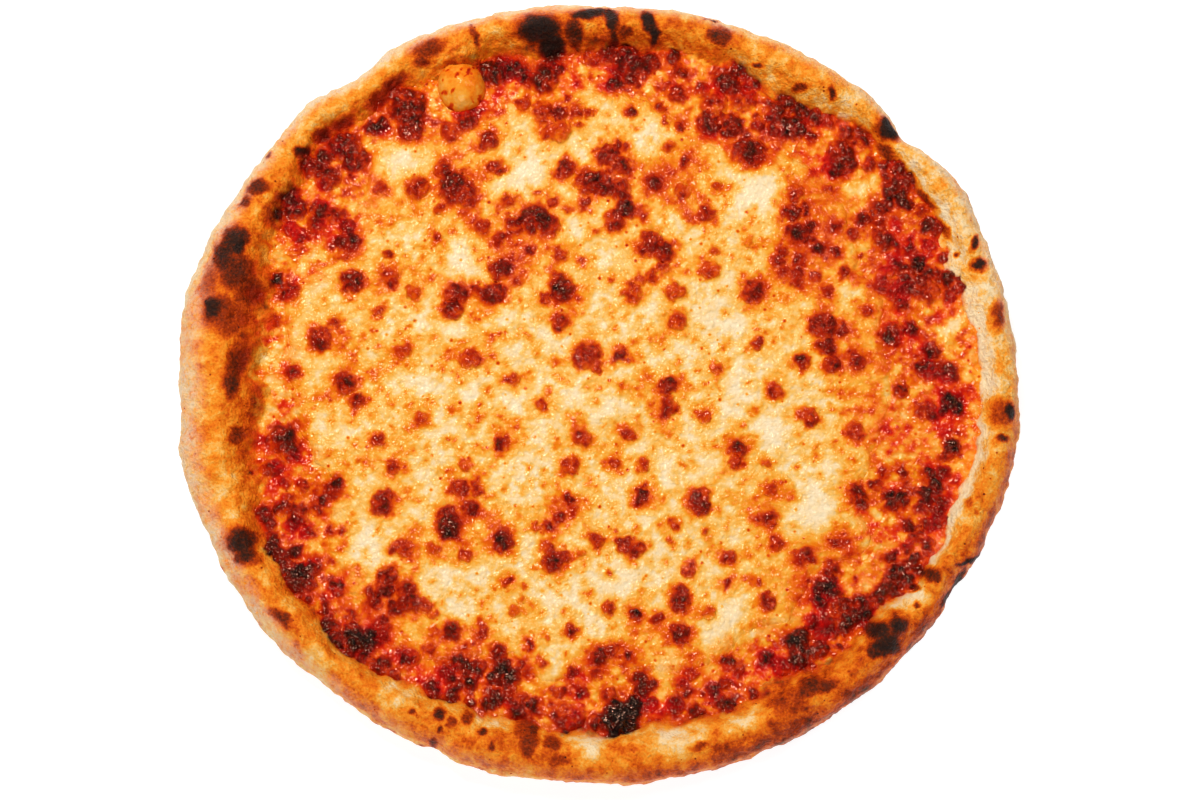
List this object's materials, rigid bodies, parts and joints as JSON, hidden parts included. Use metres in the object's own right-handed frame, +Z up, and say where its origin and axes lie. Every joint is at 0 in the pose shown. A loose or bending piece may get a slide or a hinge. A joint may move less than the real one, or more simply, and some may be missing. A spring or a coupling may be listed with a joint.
{
  "type": "cheese pizza",
  "caption": "Whole round uncut pizza with a puffed charred rim, a ring of tomato sauce and a sheet of melted cheese with browned blisters.",
  "frame": {"origin": "centre of the pizza's flat underside", "axes": "+Z up out of the cheese, +X to the right of the picture, +Y towards the picture's top edge"},
  "size_m": [0.29, 0.2776, 0.019],
  "materials": {
    "baked_dough": "baked wheat dough, floury outside, golden and charred on the crest",
    "tomato_sauce": "baked tomato sauce and orange oil, lumpy and glossy",
    "melted_cheese": "melted cheese, pale cream with orange oil and dark red blisters, soft sheen"
  },
  "bodies": {
    "root": {"crust": "baked_dough", "tomato_sauce": "tomato_sauce", "melted_cheese": "melted_cheese"}
  },
  "joints": []
}
